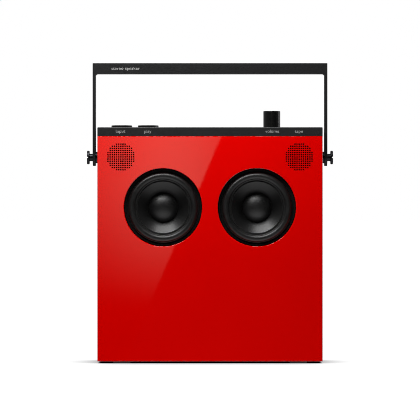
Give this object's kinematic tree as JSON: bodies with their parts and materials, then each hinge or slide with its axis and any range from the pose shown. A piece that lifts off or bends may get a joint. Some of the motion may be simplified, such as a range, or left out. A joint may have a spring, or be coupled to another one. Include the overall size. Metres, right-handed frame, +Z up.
{
  "type": "portable stereo speaker",
  "caption": "Flat upright portable stereo: gloss front panel, paired woofers and perforated tweeters, controls on the top deck and a swinging bail handle.",
  "frame": {"origin": "on the floor under the middle of the case", "axes": "+Z up, +X to the listener's right when facing the front, -Y out of the front panel"},
  "size_m": [0.2326, 0.058, 0.2822],
  "materials": {
    "panel_gloss": "high-gloss painted red",
    "case_plastic": "fine spark-textured satin black moulding",
    "deck_plastic": "satin dark grey moulding",
    "control_plastic": "satin black moulding",
    "fitting_plastic": "satin black moulding",
    "handle_metal": "satin black coated aluminium",
    "pivot_metal": "satin black coated turned aluminium",
    "foot_rubber": "matt black rubber",
    "dome_silicone": "translucent grey silicone",
    "screw_steel": "zinc-plated steel",
    "insert_brass": "turned brass",
    "basket_steel": "black e-coated pressed steel",
    "yoke_steel": "zinc-plated forged steel",
    "magnet_ferrite": "ground ferrite",
    "surround_rubber": "moulded butyl rubber with a soft sheen",
    "cone_fibre": "coated fibre cone with a soft sheen",
    "spider_cloth": "resin-dipped cloth",
    "coil_aluminium": "thin wound former",
    "board_laminate": "green solder-masked laminate",
    "sink_aluminium": "extruded aluminium",
    "cell_sleeve": "shrink-sleeved cell",
    "lead_insulation": "soft insulated twin lead"
  },
  "bodies": {
    "casing": {"front_panel": "panel_gloss", "baffle": "case_plastic", "rear_housing": "case_plastic", "bass_port": "fitting_plastic", "jack_plate": "fitting_plastic", "usb_socket": "screw_steel", "line_in_jack": "fitting_plastic", "feet": "foot_rubber", "rear_screws": "screw_steel", "woofer_screws": "screw_steel", "deck_screws": "screw_steel", "board_screws": "screw_steel", "top_deck": "deck_plastic", "input_dome": "dome_silicone", "play_dome": "dome_silicone", "control_board": "board_laminate", "volume_pot": "fitting_plastic", "tape_motor": "screw_steel", "left_woofer_basket": "basket_steel", "left_woofer_surround": "surround_rubber", "left_woofer_spider": "spider_cloth", "left_woofer_top_plate": "yoke_steel", "left_woofer_magnet": "magnet_ferrite", "left_woofer_yoke": "yoke_steel", "right_woofer_basket": "basket_steel", "right_woofer_surround": "surround_rubber", "right_woofer_spider": "spider_cloth", "right_woofer_top_plate": "yoke_steel", "right_woofer_magnet": "magnet_ferrite", "right_woofer_yoke": "yoke_steel", "left_tweeter_frame": "fitting_plastic", "left_tweeter_dome": "spider_cloth", "left_tweeter_magnet": "yoke_steel", "right_tweeter_frame": "fitting_plastic", "right_tweeter_dome": "spider_cloth", "right_tweeter_magnet": "yoke_steel", "pivot_spacers": "pivot_metal", "pivot_brackets": "screw_steel", "pivot_inserts": "insert_brass", "battery_cells": "cell_sleeve", "battery_tray": "fitting_plastic", "main_board": "board_laminate", "heat_sink": "sink_aluminium", "board_parts": "sink_aluminium", "speaker_leads": "lead_insulation"},
    "handle": {"handle": "handle_metal"},
    "left_thumb_screw": {"left_thumb_screw": "pivot_metal"},
    "right_thumb_screw": {"right_thumb_screw": "pivot_metal"},
    "input_button": {"input_button": "control_plastic"},
    "play_button": {"play_button": "control_plastic"},
    "volume_knob": {"volume_knob": "control_plastic", "volume_shaft": "screw_steel"},
    "tape_dial": {"tape_dial": "control_plastic", "tape_spindle": "screw_steel"},
    "left_cone": {"left_woofer_cone": "cone_fibre", "left_woofer_dust_cap": "cone_fibre", "left_woofer_voice_coil": "coil_aluminium"},
    "right_cone": {"right_woofer_cone": "cone_fibre", "right_woofer_dust_cap": "cone_fibre", "right_woofer_voice_coil": "coil_aluminium"}
  },
  "joints": [
    {"name": "handle_swing", "type": "hinge", "parent": "casing", "child": "handle", "pos_m": [0, 0, 0.1933], "axis": [1, 0, 0], "range_deg": [-145, 145]},
    {"name": "left_thumb_screw_turn", "type": "hinge", "parent": "casing", "child": "left_thumb_screw", "pos_m": [-0.11, 0, 0.1933], "axis": [-1, 0, 0], "range_deg": [0, 360]},
    {"name": "right_thumb_screw_turn", "type": "hinge", "parent": "casing", "child": "right_thumb_screw", "pos_m": [0.11, 0, 0.1933], "axis": [1, 0, 0], "range_deg": [0, 360]},
    {"name": "input_press", "type": "slide", "parent": "casing", "child": "input_button", "axis": [0, 0, -1], "range_m": [0, 0.0012], "stiffness_N_per_m": 1000, "springref_m": -0.0003, "deforming": ["input_dome"]},
    {"name": "play_press", "type": "slide", "parent": "casing", "child": "play_button", "axis": [0, 0, -1], "range_m": [0, 0.0012], "stiffness_N_per_m": 1000, "springref_m": -0.0003, "deforming": ["play_dome"]},
    {"name": "volume_turn", "type": "hinge", "parent": "casing", "child": "volume_knob", "pos_m": [0.0585, 0, 0.2212], "axis": [0, 0, 1], "range_deg": [-150, 150]},
    {"name": "tape_turn", "type": "hinge", "parent": "casing", "child": "tape_dial", "pos_m": [0.0835, 0, 0.219], "axis": [0, 0, 1], "continuous": true},
    {"name": "left_woofer_travel", "type": "slide", "parent": "casing", "child": "left_cone", "axis": [0, 1, 0], "range_m": [-0.002, 0.002], "stiffness_N_per_m": 1800, "deforming": ["left_woofer_surround", "left_woofer_spider"]},
    {"name": "right_woofer_travel", "type": "slide", "parent": "casing", "child": "right_cone", "axis": [0, 1, 0], "range_m": [-0.002, 0.002], "stiffness_N_per_m": 1800, "deforming": ["right_woofer_surround", "right_woofer_spider"]}
  ]
}
